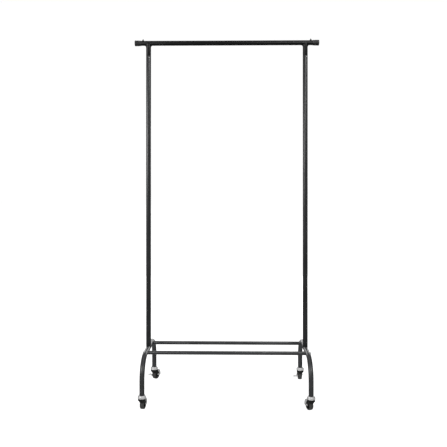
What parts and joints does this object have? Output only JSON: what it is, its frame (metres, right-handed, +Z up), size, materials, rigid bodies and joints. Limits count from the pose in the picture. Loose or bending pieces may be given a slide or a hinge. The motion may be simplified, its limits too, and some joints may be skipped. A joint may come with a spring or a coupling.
{
  "type": "rolling clothes rack",
  "caption": "Rolling clothes rack: one hanging rail on two upright tubes, two bent-tube base arches joined by two bars, and swivel casters with foot brakes at the back.",
  "frame": {"origin": "on the floor, under the middle of the hanging rail and midway between the front and back legs", "axes": "+X along the hanging rail to the right, -Y to the front, +Z up"},
  "size_m": [0.94, 0.4769, 1.814],
  "materials": {
    "rail_paint": "semi-gloss black powder coat",
    "upright_paint": "semi-gloss black powder coat",
    "base_paint": "semi-gloss black powder coat",
    "black_plastic": "fine moulded texture",
    "fork_plastic": "moulded black",
    "hub_plastic": "moulded black",
    "tyre_rubber": "worn matt black tread",
    "zinc_plate": "zinc-plated pressed steel",
    "zinc_screws": "zinc-plated",
    "bearing_steel": "polished",
    "plain_steel": "bright drawn",
    "nylon": "moulded"
  },
  "bodies": {
    "frame": {"hanging_rail": "rail_paint", "rail_end_cap_left": "black_plastic", "rail_end_cap_right": "black_plastic", "hanger_stops": "black_plastic", "rail_stub_left": "rail_paint", "rail_stub_right": "rail_paint", "joint_spigot_left": "plain_steel", "joint_spigot_right": "plain_steel", "button_spring_left": "plain_steel", "button_spring_right": "plain_steel", "upright_left": "upright_paint", "upright_right": "upright_paint", "upright_plug_left": "nylon", "upright_plug_right": "nylon", "base_arch_left": "base_paint", "base_arch_right": "base_paint", "crown_screws": "zinc_screws", "base_bar_front": "base_paint", "base_bar_back": "base_paint", "bar_end_plugs": "nylon", "bar_screws": "zinc_screws", "leg_insert_front_left": "nylon", "leg_insert_front_right": "nylon", "leg_insert_back_left": "nylon", "leg_insert_back_right": "nylon", "swivel_cup_front_left": "zinc_plate", "swivel_cup_front_right": "zinc_plate", "swivel_cup_back_left": "zinc_plate", "swivel_cup_back_right": "zinc_plate"},
    "button_left": {"snap_button_left": "plain_steel"},
    "button_right": {"snap_button_right": "plain_steel"},
    "caster_front_left": {"fork_front_left": "fork_plastic", "ball_ring_front_left": "bearing_steel", "wheel_guard_front_left": "zinc_plate", "axle_bolt_front_left": "zinc_plate"},
    "wheel_front_left": {"wheel_hub_front_left": "hub_plastic", "tyre_front_left": "tyre_rubber"},
    "caster_front_right": {"fork_front_right": "fork_plastic", "ball_ring_front_right": "bearing_steel", "wheel_guard_front_right": "zinc_plate", "axle_bolt_front_right": "zinc_plate"},
    "wheel_front_right": {"wheel_hub_front_right": "hub_plastic", "tyre_front_right": "tyre_rubber"},
    "caster_back_left": {"fork_back_left": "fork_plastic", "ball_ring_back_left": "bearing_steel", "wheel_guard_back_left": "zinc_plate", "axle_bolt_back_left": "zinc_plate"},
    "wheel_back_left": {"wheel_hub_back_left": "hub_plastic", "tyre_back_left": "tyre_rubber"},
    "brake_back_left": {"brake_lever_back_left": "zinc_plate"},
    "caster_back_right": {"fork_back_right": "fork_plastic", "ball_ring_back_right": "bearing_steel", "wheel_guard_back_right": "zinc_plate", "axle_bolt_back_right": "zinc_plate"},
    "wheel_back_right": {"wheel_hub_back_right": "hub_plastic", "tyre_back_right": "tyre_rubber"},
    "brake_back_right": {"brake_lever_back_right": "zinc_plate"}
  },
  "joints": [
    {"name": "button_left_push", "type": "slide", "parent": "frame", "child": "button_left", "axis": [-0.4226, 0.9063, 0], "range_m": [0, 0.0026], "stiffness_N_per_m": 1500, "springref_m": -0.0015, "deforming": ["button_spring_left"]},
    {"name": "button_right_push", "type": "slide", "parent": "frame", "child": "button_right", "axis": [-0.4226, 0.9063, 0], "range_m": [0, 0.0026], "stiffness_N_per_m": 1500, "springref_m": -0.0015, "deforming": ["button_spring_right"]},
    {"name": "caster_front_left_swivel", "type": "hinge", "parent": "frame", "child": "caster_front_left", "pos_m": [-0.4, -0.205, 0.066], "axis": [0, 0, 1], "continuous": true},
    {"name": "wheel_front_left_spin", "type": "hinge", "parent": "caster_front_left", "child": "wheel_front_left", "pos_m": [-0.39749, -0.18718, 0.025], "axis": [0.9903, -0.1392, 0], "continuous": true},
    {"name": "caster_front_right_swivel", "type": "hinge", "parent": "frame", "child": "caster_front_right", "pos_m": [0.4, -0.205, 0.066], "axis": [0, 0, 1], "continuous": true},
    {"name": "wheel_front_right_spin", "type": "hinge", "parent": "caster_front_right", "child": "wheel_front_right", "pos_m": [0.39384, -0.18809, 0.025], "axis": [0.9397, 0.342, 0], "continuous": true},
    {"name": "caster_back_left_swivel", "type": "hinge", "parent": "frame", "child": "caster_back_left", "pos_m": [-0.4, 0.205, 0.066], "axis": [0, 0, 1], "continuous": true},
    {"name": "wheel_back_left_spin", "type": "hinge", "parent": "caster_back_left", "child": "wheel_back_left", "pos_m": [-0.39268, 0.22144, 0.025], "axis": [0.9135, -0.4067, 0], "continuous": true},
    {"name": "brake_back_left_pedal", "type": "hinge", "parent": "caster_back_left", "child": "brake_back_left", "pos_m": [-0.39268, 0.22144, 0.025], "axis": [0.9135, -0.4067, 0], "range_deg": [0, 24]},
    {"name": "caster_back_right_swivel", "type": "hinge", "parent": "frame", "child": "caster_back_right", "pos_m": [0.4, 0.205, 0.066], "axis": [0, 0, 1], "continuous": true},
    {"name": "wheel_back_right_spin", "type": "hinge", "parent": "caster_back_right", "child": "wheel_back_right", "pos_m": [0.39969, 0.223, 0.025], "axis": [0.9998, 0.0175, 0], "continuous": true},
    {"name": "brake_back_right_pedal", "type": "hinge", "parent": "caster_back_right", "child": "brake_back_right", "pos_m": [0.39969, 0.223, 0.025], "axis": [0.9998, 0.0175, 0], "range_deg": [0, 24]}
  ]
}
